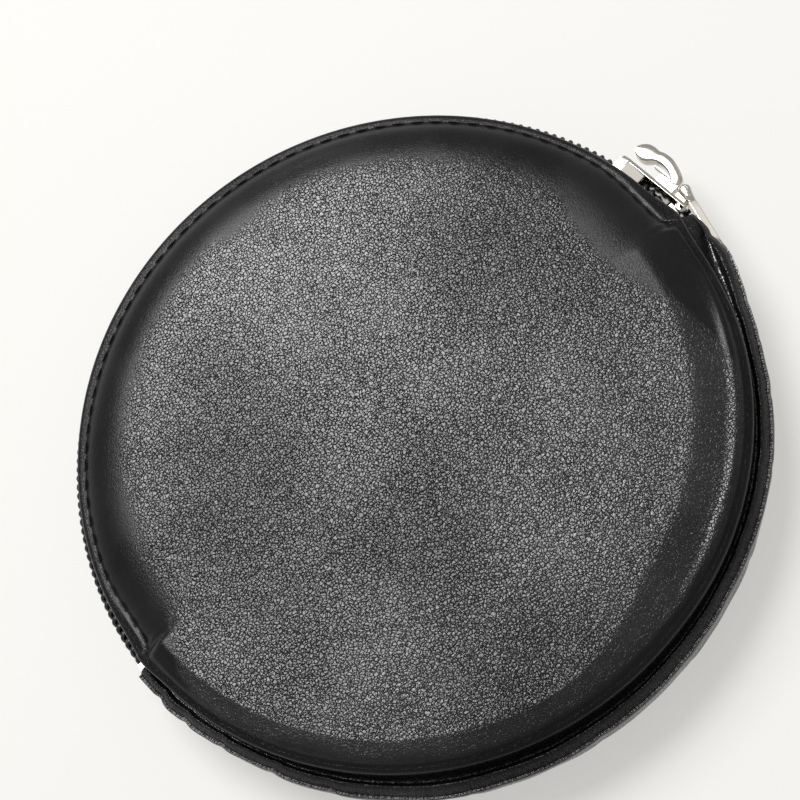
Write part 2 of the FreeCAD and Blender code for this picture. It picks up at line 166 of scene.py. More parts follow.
def wrapped(angle):
    """Angle from -90 up to 270 degrees, so that the zip is one unbroken run."""
    return (angle + 90.0) % 360.0 - 90.0


def signed(angle):
    """Angle from -180 up to 180 degrees, so that the gusset is one unbroken run."""
    return (angle + 180.0) % 360.0 - 180.0


# ---- meshes ----


def smooth_open(points, per_span):
    """Open Catmull-Rom line through points."""
    points = [Vector(p) for p in points]
    points = [2 * points[0] - points[1]] + points + [2 * points[-1] - points[-2]]
    result = []
    for i in range(1, len(points) - 2):
        p0, p1, p2, p3 = points[i - 1:i + 3]
        for k in range(per_span):
            t = k / per_span
            result.append(0.5 * (2 * p1 + (p2 - p0) * t + (2 * p0 - 5 * p1 + 4 * p2 - p3) * t**2
                                 + (3 * p1 - p0 - 3 * p2 + p3) * t**3))
    result.append(points[-2])
    return result


def add_object(name, data):
    made = bpy.data.objects.new(name, data)
    bpy.context.scene.collection.objects.link(made)
    return made


def new_object(name, vertices, faces):
    mesh = bpy.data.meshes.new(name)
    mesh.from_pydata([tuple(v) for v in vertices], [], faces)
    mesh.validate()
    mesh.update()
    mesh.polygons.foreach_set("use_smooth", [True] * len(mesh.polygons))
    return add_object(name, mesh)


def new_solid(name, vertices, faces):
    """Object whose faces all look outwards."""
    piece = new_object(name, vertices, faces)
    mesh = bmesh.new()
    mesh.from_mesh(piece.data)
    bmesh.ops.recalc_face_normals(mesh, faces=mesh.faces)
    mesh.to_mesh(piece.data)
    mesh.free()
    return piece


def skin(first, rings, count):
    """Faces over closed rings of count points, from vertex number first on, with flat ends."""
    last = first + (rings - 1) * count
    faces = []
    for a in range(first, last, count):
        b = a + count
        for j in range(count):
            k = (j + 1) % count
            faces.append((a + j, a + k, b + k, b + j))
    faces.append(tuple(reversed(range(first, first + count))))
    faces.append(tuple(range(last, last + count)))
    return faces


def rim_strip(name, section, start, end, step):
    """Closed strip round part of the rim. section(angle) gives its (radius, height) outline."""
    count = max(2, round((end - start) / step))
    angles = [start + (end - start) * i / count for i in range(count + 1)]
    rings = [[polar(r, a, z) for r, z in section(a)] for a in angles]
    vertices = [point for ring in rings for point in ring]
    return new_solid(name, vertices, skin(0, len(rings), len(rings[0])))


def disc_shell(name, section, steps):
    """Closed round shell. section(angle) runs from the outer surface's middle to the inner one's."""
    angles = [360.0 * i / steps for i in range(steps)]
    rows = [section(a) for a in angles]
    inner_count = len(rows[0]) - 2
    vertices = [polar(r, a, z) for a, row in zip(angles, rows) for r, z in row[1:-1]]
    top = len(vertices)
    vertices += [Vector((0, 0, rows[0][0][1])) * MM, Vector((0, 0, rows[0][-1][1])) * MM]
    faces = []
    for i in range(steps):
        a = i * inner_count
        b = ((i + 1) % steps) * inner_count
        faces.append((top, a, b))
        faces.append((top + 1, b + inner_count - 1, a + inner_count - 1))
        for j in range(inner_count - 1):
            faces.append((a + j, a + j + 1, b + j + 1, b + j))
    return new_solid(name, vertices, faces)


def tube_curve(name, runs, radius, resolution=3):
    """Round thread or wire along each run of points."""
    curve = bpy.data.curves.new(name, "CURVE")
    curve.dimensions = "3D"
    curve.bevel_depth = radius * MM
    curve.bevel_resolution = resolution
    curve.use_fill_caps = True
    for points in runs:
        spline = curve.splines.new("POLY")
        spline.points.add(len(points) - 1)
        for spot, point in zip(spline.points, points):
            spot.co = (*point, 1.0)
    return add_object(name, curve)


def finish_piece(piece, material, body, node):
    """Finish, body and CAD node of a new piece. A piece given no body is not attached to one."""
    piece.data.materials.append(material)
    if body:
        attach(piece, body)
    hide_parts(node)


# ---- materials ----


class Shader:
    """Small helper that adds and joins the nodes of one material."""

    def __init__(self, name):
        self.material = bpy.data.materials.new(name)
        self.material.use_nodes = True
        self.nodes = self.material.node_tree.nodes
        self.links = self.material.node_tree.links
        self.main = self.nodes["Principled BSDF"]

    def node(self, kind, **settings):
        made = self.nodes.new(kind)
        for key, value in settings.items():
            setattr(made, key, value)
        return made

    def put(self, target, value):
        if isinstance(value, bpy.types.NodeSocket):
            self.links.new(value, target)
        else:
            target.default_value = value

    def place(self):
        return self.node("ShaderNodeTexCoord").outputs["Object"]

    def coordinates(self):
        """Sockets for the part's own X, Y and Z."""
        split = self.node("ShaderNodeSeparateXYZ")
        self.put(split.inputs[0], self.place())
        return split.outputs

    def math(self, operation, first, second=0.0):
        made = self.node("ShaderNodeMath", operation=operation)
        self.put(made.inputs[0], first)
        self.put(made.inputs[1], second)
        return made.outputs[0]

    def vector_math(self, operation, first, second):
        made = self.node("ShaderNodeVectorMath", operation=operation)
        self.put(made.inputs[0], first)
        self.put(made.inputs["Scale" if operation == "SCALE" else 1], second)
        return made.outputs["Value" if operation == "DISTANCE" else "Vector"]

    def noise(self, where, scale, detail=4.0, roughness=0.55):
        made = self.node("ShaderNodeTexNoise")
        self.put(made.inputs["Vector"], where)
        made.inputs["Scale"].default_value = scale
        made.inputs["Detail"].default_value = detail
        made.inputs["Roughness"].default_value = roughness
        return made.outputs["Fac"]

    def cells(self, where, scale, feature="F1", flat=False):
        kind = "2D" if flat else "3D"
        made = self.node("ShaderNodeTexVoronoi", feature=feature, voronoi_dimensions=kind)
        self.put(made.inputs["Vector"], where)
        made.inputs["Scale"].default_value = scale
        return made.outputs["Distance"]

    def remap(self, value, low, high, to_low, to_high):
        made = self.node("ShaderNodeMapRange")
        self.put(made.inputs["Value"], value)
        ends = (("From Min", low), ("From Max", high), ("To Min", to_low), ("To Max", to_high))
        for key, number in ends:
            made.inputs[key].default_value = number
        return made.outputs["Result"]

    def blend_colours(self, share, first, second):
        made = self.node("ShaderNodeMix", data_type="RGBA")
        self.put(made.inputs["Factor"], share)
        made.inputs["A"].default_value = (*first, 1.0)
        made.inputs["B"].default_value = (*second, 1.0)
        return made.outputs["Result"]

    def warped(self, where, scale, amount):
        """Coordinates pushed about by noise, so that cells are less regular."""
        made = self.node("ShaderNodeTexNoise")
        self.put(made.inputs["Vector"], where)
        made.inputs["Scale"].default_value = scale
        made.inputs["Detail"].default_value = 2.0
        centred = self.vector_math("SUBTRACT", made.outputs["Color"], (0.5, 0.5, 0.5))
        return self.vector_math("ADD", where, self.vector_math("SCALE", centred, amount))

    def radius(self):
        """Distance from the part's middle axis."""
        axes = self.coordinates()
        across = self.math("MULTIPLY", axes["X"], axes["X"])
        along = self.math("MULTIPLY", axes["Y"], axes["Y"])
        return self.math("SQRT", self.math("ADD", across, along))

    def round_rim(self):
        """(distance round the rim, height) for a pattern that follows the rim."""
        axes = self.coordinates()
        turn = self.math("ARCTAN2", axes["Y"], axes["X"])
        return self.math("MULTIPLY", turn, TAPE_R * MM), axes["Z"]

    def bump(self, height, depth):
        made = self.node("ShaderNodeBump")
        made.inputs["Distance"].default_value = depth
        self.put(made.inputs["Height"], height)
        self.links.new(made.outputs["Normal"], self.main.inputs["Normal"])

    def set(self, **values):
        for key, value in values.items():
            self.put(self.main.inputs[key.replace("_", " ")], value)


# how far the leather's cells are pushed about, in metres, and how strongly its finish mirrors
GRAIN_WARP = 0.0009
LEATHER_SHEEN = 0.66
# values of the broad noise between which the leather turns hazy
HAZE = (0.36, 0.64)
# the height that the grain fades to, about the middle of its range
GRAIN_MIDDLE = 0.72
# share of the grain that is left where a face is stretched smooth
CALM_LEAST = 0.1
# the change of finish across the stitched crease, in metres from the middle
CREASE = ((STITCH_R - 0.4) * MM, (STITCH_R + 0.4) * MM)


def rim_coordinates(s):
    """(flat coordinates for leather that follows the rim, height over the rim's middle)"""
    along_rim, height_up = s.round_rim()
    over_middle = s.math("SUBTRACT", height_up, MID * MM)
    outward = s.math("MULTIPLY", s.radius(), s.math("SIGN", over_middle))
    joined = s.node("ShaderNodeCombineXYZ")
    s.put(joined.inputs["X"], along_rim)
    s.put(joined.inputs["Y"], s.math("SUBTRACT", outward, height_up))
    return joined.outputs[0], over_middle


def grain_height(s, where, edges, cell_mm):
    """Pebble grain: creases round domed cells, finer cells on those, and soft unevenness."""
    domes = s.cells(where, 1000.0 / cell_mm, flat=True)
    fine = s.cells(where, 2300.0 / cell_mm, flat=True)
    tilt = s.noise(s.place(), 1300.0, 3.0, 0.6)
    height = s.math("MULTIPLY", s.remap(edges, 0.0, 0.16, 0.0, 1.0), 0.6)
    height = s.math("ADD", height, s.math("MULTIPLY", s.math("MULTIPLY", domes, domes), -0.35))
    height = s.math("ADD", height, s.math("MULTIPLY", fine, -0.15))
    return s.math("ADD", height, s.math("MULTIPLY", tilt, 0.85))


def face_grain_share(s, cloud, calm_radius):
    """(share of the grain that shows on a face, distance from the face's middle)"""
    radius = s.radius()
    wobble = s.math("MULTIPLY", s.math("SUBTRACT", cloud, 0.5), 0.006)
    reach = s.math("ADD", radius, wobble)
    # beside the gusset the grain carries on further out than it does beside the zip
    beside_gusset = s.remap(s.coordinates()["Y"], -0.012, 0.001, 0.0064, 0.0)
    reach = s.math("SUBTRACT", reach, beside_gusset)
    # and it is stretched smooth where the seam turns in beside the slider
    away = s.vector_math("DISTANCE", s.place(), polar(43.5, -8.0, THICK))
    reach = s.math("ADD", reach, s.remap(away, 0.002, 0.019, 0.0085, 0.0))
    fade = ((calm_radius - 1.0) * MM, (calm_radius + 1.2) * MM)
    share = s.remap(reach, *fade, 1.0, CALM_LEAST)
    beyond_stitches = s.remap(radius, *CREASE, 0.0, 0.28)
    return s.math("MAXIMUM", share, beyond_stitches), radius


def leather(name, dark, light, rough_low, rough_high, depth, cell_mm, calm_radius=None):
    """Glossy pebble-grain leather: small domed cells parted by fine creases, and cloudy polish.
    A leather with a calm_radius (mm) is a face: beyond that radius it is stretched almost smooth.
    Any other leather follows the rim."""
    s = Shader(name)
    if calm_radius:
        flat = s.place()
    else:
        flat, over_middle = rim_coordinates(s)
    where = s.warped(flat, 1700.0, GRAIN_WARP)
    edges = s.cells(where, 1000.0 / cell_mm, "DISTANCE_TO_EDGE", flat=True)
    height = grain_height(s, where, edges, cell_mm)
    cloud = s.noise(s.place(), 85.0, 6.0, 0.66)
    # broad hazy patches, brighter and with shallower grain
    haze = s.noise(s.place(), 42.0, 3.0, 0.5)
    polish = s.remap(cloud, 0.28, 0.72, rough_low, rough_high)
    valley = s.math("MULTIPLY", s.remap(edges, 0.0, 0.12, 1.0, 0.0), 0.3)
    if calm_radius:
        calm, radius = face_grain_share(s, cloud, calm_radius)
        height = s.math("MULTIPLY", s.math("SUBTRACT", height, GRAIN_MIDDLE), calm)
        valley = s.math("MULTIPLY", valley, calm)
        # where a face is stretched smooth its sheen falls to a third: painted shade on the shoulder
        sheens = [s.remap(calm, CALM_LEAST, 1.0, 0.34, 1.0), s.remap(radius, *CREASE, 1.0, 0.45)]
    else:
        # the fold round the middle is stretched smooth and polished by handling
        fold = s.remap(s.math("ABSOLUTE", over_middle), 1.85 * MM, 2.2 * MM, 0.0, 1.0)
        height = s.math("MULTIPLY", height, s.remap(fold, 0.0, 1.0, 0.3, 1.0))
        polish = s.math("MULTIPLY", polish, s.remap(fold, 0.0, 1.0, 0.5, 1.0))
        sheens = [s.remap(fold, 0.0, 1.0, 1.4, 0.5)]
    s.bump(s.math("MULTIPLY", height, s.remap(haze, *HAZE, 1.15, 0.8)), depth)
    s.set(Roughness=s.math("ADD", polish, valley))
    s.set(Base_Color=s.blend_colours(s.remap(cloud, 0.3, 0.7, 0.0, 1.0), dark, light))
    # the sheen drops in the creases between the cells: painted shade in the creases
    sheen = s.math("MULTIPLY", s.remap(valley, 0.0, 0.3, 1.0, 0.45), LEATHER_SHEEN)
    for share in [s.remap(haze, *HAZE, 0.74, 1.2)] + sheens:
        sheen = s.math("MULTIPLY", sheen, share)
    s.set(IOR=1.5, Specular_IOR_Level=sheen)
    return s.material


def cloth(name, colour, pitch_mm, round_the_rim):
    """Fine twill, in straight rows or following the rim."""
    s = Shader(name)
    if round_the_rim:
        across, up = s.round_rim()
    else:
        axes = s.coordinates()
        across, up = axes["X"], axes["Y"]
    turns = 2 * math.pi / (pitch_mm * MM)
    ribs = s.math("SINE", s.math("MULTIPLY", s.math("ADD", across, up), turns))
    yarns = s.math("SINE", s.math("MULTIPLY", s.math("SUBTRACT", across, up), turns * 0.5))
    weave = s.math("ADD", s.math("MULTIPLY", ribs, 0.5), s.math("MULTIPLY", yarns, 0.3))
    fuzz = s.noise(s.place(), 2500.0, 3.0)
    s.bump(s.math("ADD", weave, fuzz), 0.00006)
    lighter = tuple(c * 2.2 + 0.004 for c in colour)
    s.set(Base_Color=s.blend_colours(s.remap(weave, -0.8, 0.8, 0.0, 1.0), colour, lighter))
    s.set(Roughness=0.85, Sheen_Weight=0.25, Sheen_Roughness=0.5)
    return s.material


def thread_material():
    s = Shader("waxed_thread")
    along, up = s.round_rim()
    slant = s.math("ADD", along, s.math("MULTIPLY", up, 1.4))
    twist = s.math("SINE", s.math("MULTIPLY", slant, 17000.0))
    fibre = s.noise(s.place(), 6000.0, 2.0)
    s.bump(s.math("ADD", s.math("MULTIPLY", twist, 0.6), fibre), 0.00004)
    s.set(Base_Color=s.blend_colours(fibre, (0.008, 0.008, 0.009), (0.022, 0.022, 0.023)))
    s.set(Roughness=0.42)
    return s.material


def nylon_material():
    s = Shader("nylon_coil")
    streak = s.noise(s.place(), 1800.0, 3.0)
    s.bump(streak, 0.00001)
    s.set(Base_Color=s.blend_colours(streak, (0.010, 0.010, 0.011), (0.024, 0.024, 0.026)))
    s.set(Roughness=s.remap(streak, 0.3, 0.7, 0.24, 0.42))
    return s.material


def metal(name, colour, dull, rough_low, rough_high):
    """Plated metal with light handling marks."""
    s = Shader(name)
    where = s.place()
    stretch = s.node("ShaderNodeMapping")
    s.links.new(where, stretch.inputs["Vector"])
    stretch.inputs["Scale"].default_value = (1.0, 1.0, 7.0)
    marks = s.noise(stretch.outputs[0], 900.0, 6.0, 0.7)
    haze = s.noise(where, 350.0, 3.0)
    s.bump(marks, 0.000006)
    s.set(Base_Color=s.blend_colours(haze, colour, dull), Metallic=1.0)
    s.set(Roughness=s.remap(marks, 0.3, 0.7, rough_low, rough_high))
    return s.material


def foam_material():
    s = Shader("foam")
    pores = s.cells(s.place(), 1600.0)
    s.bump(pores, 0.0002)
    s.set(Base_Color=s.blend_colours(pores, (0.5, 0.47, 0.4), (0.75, 0.72, 0.65)))
    s.set(Roughness=0.95)
    return s.material


def board_material():
    s = Shader("board")
    fibres = s.noise(s.place(), 1200.0, 6.0, 0.75)
    s.bump(fibres, 0.00006)
    s.set(Base_Color=s.blend_colours(fibres, (0.3, 0.24, 0.16), (0.5, 0.42, 0.32)))
    s.set(Roughness=0.9)
    return s.material


def floor_material():
    """Pale photo table, softly lit from below."""
    s = Shader("pale_floor")
    soft = s.noise(s.place(), 9.0, 3.0)
    s.set(Base_Color=s.blend_colours(soft, (0.31, 0.307, 0.297), (0.33, 0.327, 0.316)))
    s.set(Roughness=0.7)
    s.set(Emission_Color=(1.0, 0.985, 0.95, 1.0), Emission_Strength=0.49)
    return s.material


FACE_LEATHER = leather("face_leather", (0.0050, 0.0050, 0.0056), (0.0080, 0.0080, 0.0088),
                       0.20, 0.34, 0.00011, 0.44, calm_radius=38.5)
GUSSET_LEATHER = leather("gusset_leather", (0.0045, 0.0045, 0.0050), (0.0075, 0.0075, 0.0082),
                         0.24, 0.38, 0.00012, 0.46)
LINING_CLOTH = cloth("lining_cloth", (0.012, 0.012, 0.014), 0.5, False)
RIM_CLOTH = cloth("rim_lining_cloth", (0.012, 0.012, 0.014), 0.5, True)
TAPE_CLOTH = cloth("zip_tape_cloth", (0.007, 0.007, 0.008), 0.62, True)
THREAD = thread_material()
NYLON = nylon_material()
NICKEL = metal("polished_nickel", (0.79, 0.76, 0.705), (0.69, 0.66, 0.60), 0.05, 0.13)
BRUSHED_NICKEL = metal("brushed_nickel", (0.50, 0.49, 0.47), (0.42, 0.41, 0.39), 0.32, 0.45)
SPRING_STEEL = metal("spring_steel", (0.5, 0.5, 0.5), (0.42, 0.42, 0.42), 0.25, 0.4)
FOAM = foam_material()
BOARD = board_material()


# ---- the leather faces ----


def zip_share(angle):
    """1 along the zip, 0 along the gusset, with a short change between."""
    a = wrapped(angle)
    return smooth(STITCH_START - 1.2, STITCH_START + 0.8, a) * (1 - smooth(ZIP_END - 0.5, ZIP_END + 1.5, a))


def stitch_radius(angle):
    """The topstitching keeps to one radius, then steps in and runs out over the edge at each end."""
    a = wrapped(angle)
    from_end = min(a - STITCH_START, ZIP_END + 0.5 - a)
    step_in = -0.65 * (1 - smooth(6.0, 19.0, from_end))
    run_out = 2.1 * (1 - smooth(-0.2, 2.4, from_end)) + 0.25 * (1 - smooth(1.0, 4.5, from_end))
    return STITCH_R + step_in + run_out


def terrace_share(angle):
    """1 where the padding's edge stands as a narrow terrace inside the gusset seam."""
    a = signed(angle)
    return smooth(-82.0, -60.0, a) * (1 - smooth(-30.0, -12.0, a))


def edge_radius(angle):
    """The seam edge stands out a little in places: at the terrace, along the middle of the zip
    and beside its two ends."""
    a = wrapped(angle)
    radius = EDGE_R + 0.3 * terrace_share(angle)
    radius += 0.35 * bump_at(a, SWAY_MIDDLE, SWAY_WIDTH)
    radius += 0.75 * bump_at(a, -2.2, 3.6)
    radius += 0.5 * bump_at(a, ZIP_END, 3.6)
    return radius


def face_drop(radius, angle):
    """How far the leather's outer surface lies in from the plane of the face's middle."""
    on_zip = zip_share(angle)
    seam = stitch_radius(angle)
    foot = (min(seam, STITCH_R) - 0.35) * on_zip + (EDGE_R - 0.55) * (1 - on_zip)
    total = (FACE_DROP - 0.25) * on_zip + (FACE_DROP - 0.2) * (1 - on_zip)
    drop = CROWN * min(1.0, radius / foot) ** 2
    t = min(1.0, max(0.0, (radius - SHOULDER_START) / (foot - SHOULDER_START)))
    on_slope = (total - CROWN) * (0.85 * t**3.4 + 0.15 * t**8)
    # along the gusset the padding slopes off sooner, and on one side a narrow terrace
    # stands before the edge
    terrace = terrace_share(angle)
    step = 1.45 - 0.50 * terrace
    slope_start = 43.0 - 3.7 * smooth(-100.0, -66.0, signed(angle))
    sloped = step * smooth(slope_start, 46.3 - 1.8 * terrace, radius)
    sloped += (total - CROWN - step) * smooth(45.3, 47.0, radius)
    drop += on_slope * on_zip + sloped * (1 - on_zip)
    # the stitched crease, puckered between one stitch and the next
    arc = math.radians(wrapped(angle) - STITCH_START) * STITCH_R / STITCH_PITCH
    pucker = 0.5 + 0.5 * math.cos(2 * math.pi * arc)
    drop += on_zip * bump_at(radius, seam, 0.32) * (0.14 + 0.04 * pucker)
    drop += on_zip * 0.30 * max(0.0, radius - seam - 0.1)
    # the seam edge swells a little between the crease and its rounded rim
    drop -= on_zip * 0.10 * bump_at(radius, seam + 0.55, 0.35)
    drop -= terrace * 0.08 * bump_at(radius, 45.1, 0.6)
    # along the gusset the leather turns down over the hidden seam
    drop += (1 - on_zip) * 0.10 * bump_at(radius, EDGE_R - 1.0, 0.35)
    return drop


def face_unevenness(radius, angle, seed):
    """Slow waves of the padding, and fine drag lines along the gusset's edge."""
    spot = polar(radius, angle, 0) / MM
    wave = noise.noise(Vector((spot.x / 17, spot.y / 17, seed))) * 0.11
    wave += noise.noise(Vector((spot.x / 6, spot.y / 6, seed + 5))) * 0.035
    wave *= 1 - 0.7 * smooth(40, 45, radius)
    along_gusset = 1 - zip_share(angle)
    drag = noise.noise(Vector((radius * 1.5, angle / 9, seed + 9))) * 0.05
    wave += drag * along_gusset * bump_at(radius, 44.2, 1.6)
    return wave


def face_section(angle, half):
    """Outline from the outer surface's middle, round the rim, to the inner surface's middle."""
    edge = edge_radius(angle)
    points = [(0.0, 0.0)]
    for radius in FACE_RADII:
        # the outermost rings stretch with the edge
        place = radius + (edge - EDGE_R) * smooth(45.0, FACE_RADII[-1], radius)
        level = face_drop(place, angle) - face_unevenness(radius, angle, half.seed)
        points.append((place, level))
    rim_level = points[-1][1]
    for turn in (15, 30, 45, 60, 75, 90):
        bend = math.radians(turn)
        points.append((edge - FACE_RIM + FACE_RIM * math.sin(bend),
                       rim_level + FACE_RIM * (1 - math.cos(bend))))
    points += [(edge, SEAM_LOW - 0.25), (edge - 0.25, SEAM_LOW), (44.2, SEAM_LOW)]
    for radius in (43.0, 42.0, 41.0, 40.0, 38.5, 37.0, 30.0, 15.0):
        points.append((radius, min(face_drop(radius, angle) + LEATHER, SEAM_LOW)))
    points.append((0.0, LEATHER))
    return section_in(half, points)


def make_face(half):
    piece = disc_shell(half.side + "_face_leather", lambda a: face_section(a, half), FACE_STEPS)
    finish_piece(piece, FACE_LEATHER, half.body, half.side + "_panel")


def make_topstitching(half):
    """One short raised length of thread for each stitch, its ends pulled into the leather."""
    step = math.degrees(STITCH_PITCH / STITCH_R)
    half_stitch = math.degrees(STITCH_LENGTH / 2 / STITCH_R)
    runs = []
    for i in range(int((ZIP_END - STITCH_START) / step)):
        middle = STITCH_START + (i + 0.5) * step
        slant = random.uniform(-0.05, 0.05)
        run = []
        for t in (-1.0, -0.82, -0.45, 0.0, 0.45, 0.82, 1.0):
            angle = middle + half_stitch * t
            radius = stitch_radius(angle) + slant * t
            lift = 0.15 - 0.42 * abs(t) ** 5
            level = face_drop(radius, angle) - face_unevenness(radius, angle, half.seed) - lift
            run.append(polar(radius, angle, level_in(half, level)))
        runs.append(run)
    piece = tube_curve(half.side + "_topstitches", runs, THREAD_R)
    finish_piece(piece, THREAD, half.body, half.side + "_topstitching")


# ---- the gusset ----

# (degrees round the rim, depth) of each pleat
PLEATS = [(-7.5, 0.24), (-14.0, 0.10), (-19.5, 0.10), (-27.0, 0.07), (-35.5, 0.12), (-47.0, 0.08),
          (-61.0, 0.08), (-80.0, 0.06), (-97.0, 0.08), (-118.0, 0.07), (-139.0, 0.12), (-150.0, 0.16),
          (-158.5, 0.22), (-166.0, 0.20), (-172.5, 0.28)]
# (degrees round the rim, width in degrees, height) of each place where the wall is fuller
FULLNESS = [(-118.0, 24.0, 0.50), (-46.0, 10.0, 0.30), (-33.0, 7.0, 0.05), (-153.0, 9.0, -0.35)]


def gusset_pull(angle, share_up):
    """How far pleats and slack draw the gusset in at this place."""
    a = signed(angle)
    pull = 0.0
    for number, (place, depth) in enumerate(PLEATS):
        lean = 1.6 * math.sin(number * 2.4)
        pull += depth * bump_at(a, place + lean * share_up, 0.75)
        pull -= depth * 0.45 * bump_at(a, place + 2.2 + lean * share_up, 1.5)
    for place, width, height in FULLNESS:
        pull -= height * bump_at(a, place, width) * smooth(-1.0, 0.4, share_up)
    # beside the slider the gusset is full, and the pull tab rests in a shallow dent in it
    pull -= 1.3 * bump_at(a, -11.5, 7.5) * smooth(0.30, 0.52, share_up)
    dent = smooth(-0.9, -0.5, share_up) * (1 - smooth(0.35, 0.55, share_up))
    pull += 0.30 * smooth(-17.5, -15.0, a) * dent
    return pull + noise.noise(Vector((a / 5.5, share_up * 0.8, 3.0))) * 0.16


# outline of the gusset's upper half, (radius less GUSSET_R, height over the middle), from the middle up:
# upright wall, beaded fold, top of the roll, then the crevice and the recess under the face
GUSSET_OUTLINE = [(0.15, 0.0), (0.17, 0.7), (0.17, 1.35), (0.10, 1.68), (-0.06, 1.80), (-0.22, 1.70),
                  (-0.34, 1.80), (-0.58, 2.25), (-0.95, 2.72), (-1.30, 2.96),
                  (-1.50, 2.85), (-1.58, 2.30), (-1.75, 1.95), (-2.05, 1.95), (-2.35, 2.40),
                  (-2.55, 3.00), (-2.6, 3.56)]
# where the gusset's leather lies under a face's edge: the two radii, how far its two sides stand off the
# seam, and how far off the seam the far side of each leg lies
LEG_IN = 44.4
LEG_OUT = 45.6
LEG_GAP = 0.12
LEG_BACK = 0.95
# the lining inside the gusset: its radius, the radius its edges are turned in to, and its thickness
GUSSET_LINING_R = 45.9
LINING_TUCK_R = 43.9
LINING_THICK = 0.4


def gusset_section(angle):
    """Leather wall folded outwards, and turned in under both faces. Beside the slider it is fuller."""
    a = signed(angle)
    full = bump_at(a, -2.5, 5.5)
    top = GUSSET_OUTLINE[-1][1]
    upper = []
    for r, rise in smooth_open(GUSSET_OUTLINE, 4):
        u = rise / top
        fuller = 0.15 - 2.75 * (1.0 - max(0.0, 1.0 - u**6) ** 0.8)
        upper.append((GUSSET_R + r * (1 - full) + max(r, fuller) * full, rise))
    outline = [(r, -rise) for r, rise in reversed(upper[1:])] + upper
    outer = []
    for r, rise in outline:
        share_out = min(1.0, max(0.0, (r - GUSSET_R + 2.6) / 1.6))
        outer.append((r - gusset_pull(angle, rise / top) * share_out, MID + rise))
    # the wall's inner side is bowed a little outwards
    inner = []
    for i in range(9):
        up = -1.0 + 2.0 * i / 8
        inner.append((46.1 + 0.4 * (1 - up * up), MID + (top - 0.85) * up))
    low_leg = [(LEG_IN, SEAM_LOW + LEG_GAP), (LEG_OUT, SEAM_LOW + LEG_GAP)]
    high_leg = [(LEG_OUT, THICK - SEAM_LOW - LEG_GAP), (LEG_IN, THICK - SEAM_LOW - LEG_GAP)]
    high_inner = [(LEG_IN, THICK - SEAM_LOW - LEG_BACK), (LEG_OUT, THICK - SEAM_LOW - LEG_BACK)]
    low_inner = [(LEG_OUT, SEAM_LOW + LEG_BACK), (LEG_IN, SEAM_LOW + LEG_BACK)]
    return low_leg + outer + high_leg + high_inner + list(reversed(inner)) + low_inner


def make_gusset():
    piece = rim_strip("gusset_leather_wall", gusset_section, GUSSET_START, GUSSET_END,
                      GUSSET_STEP)
    finish_piece(piece, GUSSET_LEATHER, None, "gusset")
    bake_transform(piece)


def make_gusset_lining():
    """Cloth strip inside the gusset, turned in along both of its edges."""
    radius = GUSSET_LINING_R
    tuck = LINING_TUCK_R
    low = SEAM_LOW + 1.0
    high = THICK - low

    def section(angle):
        wave = noise.noise(Vector((angle / 4.0, 1.0, 1.0))) * 0.12
        middle = (low + high) / 2
        inside = radius - LINING_THICK
        return [(tuck, low), (radius, low), (radius + wave, middle), (radius, high), (tuck, high),
                (tuck, high - LINING_THICK), (inside, high - LINING_THICK), (inside + wave, middle),
                (inside, low + LINING_THICK), (tuck, low + LINING_THICK)]

    piece = rim_strip("gusset_lining_cloth", section, GUSSET_START, GUSSET_END, CLOTH_STEP)
    finish_piece(piece, RIM_CLOTH, None, "gusset_lining")
    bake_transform(piece)


# ---- lining and padding ----

# heights of the lining's under and upper sides in the back half
LINING_UNDER = 3.25
LINING_UPPER = 3.72
# gap between the leather and the foam
FOAM_GAP = 0.05


def make_lining(half):
    """Cloth over the board, turned up at its edge towards the zip tape."""
    radii = [4.0 * i for i in range(1, 11)]

    def section(angle):
        turn = math.radians(angle)
        ripple = 0.07 * math.sin(turn * 23) + 0.05 * math.sin(turn * 41 + 1)
        points = [(r, LINING_UNDER) for r in [0.0] + radii]
        points += [(LINING_R, 3.3), (43.75, 3.75), (43.9, 3.98), (43.35, 4.25)]
        for r in [43.0, 42.4] + list(reversed(radii)):
            spot = Vector((r / 7, angle / 25 if r > 5 else 0.0, half.outward))
            puff = noise.noise(spot) * 0.12
            rise = ripple * smooth(34, 42.4, r)
            level = LINING_UPPER + 0.25 * smooth(41.5, 43.2, r) + puff * smooth(2, 10, r) + rise
            points.append((r, level))
        points.append((0.0, LINING_UPPER))
        return section_in(half, points)

    piece = disc_shell(half.side + "_lining_cloth", section, LINING_STEPS)
    finish_piece(piece, LINING_CLOTH, half.body, half.side + "_lining")


def make_foam(half):
    """Soft pad under the leather, thinner towards its edge."""
    radii = [3.0 * i for i in range(1, 14)] + [40.5, 41.4]

    def section(angle):
        points = [(0.0, LEATHER + FOAM_GAP)]
        points += [(r, face_drop(r, angle) + LEATHER + FOAM_GAP) for r in radii]
        points += [(PAD_R - 0.3, PAD_END - 0.1), (PAD_R - 0.6, PAD_END)]
        points += [(r, PAD_END) for r in reversed(radii[:-1])]
        points.append((0.0, PAD_END))
        return section_in(half, points)

    piece = disc_shell(half.side + "_foam", section, FOAM_STEPS)
    finish_piece(piece, FOAM, half.body, half.side + "_padding")


# ---- the zip ----


def make_tape(half):
    """Woven tape: foot under the leather edge, turned up to the coil, with a thicker selvedge."""
    foot = SEAM_LOW + 0.08
    end = MID - 1.0
    inner_r = 43.75

    def section(angle):
        wave = 0.05 * math.sin(math.radians(angle) * 60)
        points = [(inner_r, foot), (TAPE_R - 0.15, foot), (TAPE_R, foot + 0.15),
                  (TAPE_R + wave * 0.4, (foot + end) / 2), (TAPE_R, end - 0.1), (TAPE_R - 0.12, end),
                  (TAPE_R - 0.35, end), (TAPE_R - 0.42, end - 0.12), (TAPE_R - 0.42, foot + 0.6),
                  (TAPE_R - 0.6, foot + 0.4), (inner_r, foot + 0.4)]
        return section_in(half, points)

    piece = rim_strip(half.side + "_woven_tape", section, ZIP_START, ZIP_END, CLOTH_STEP)
    finish_piece(piece, TAPE_CLOTH, half.body, half.side + "_zip_tape")


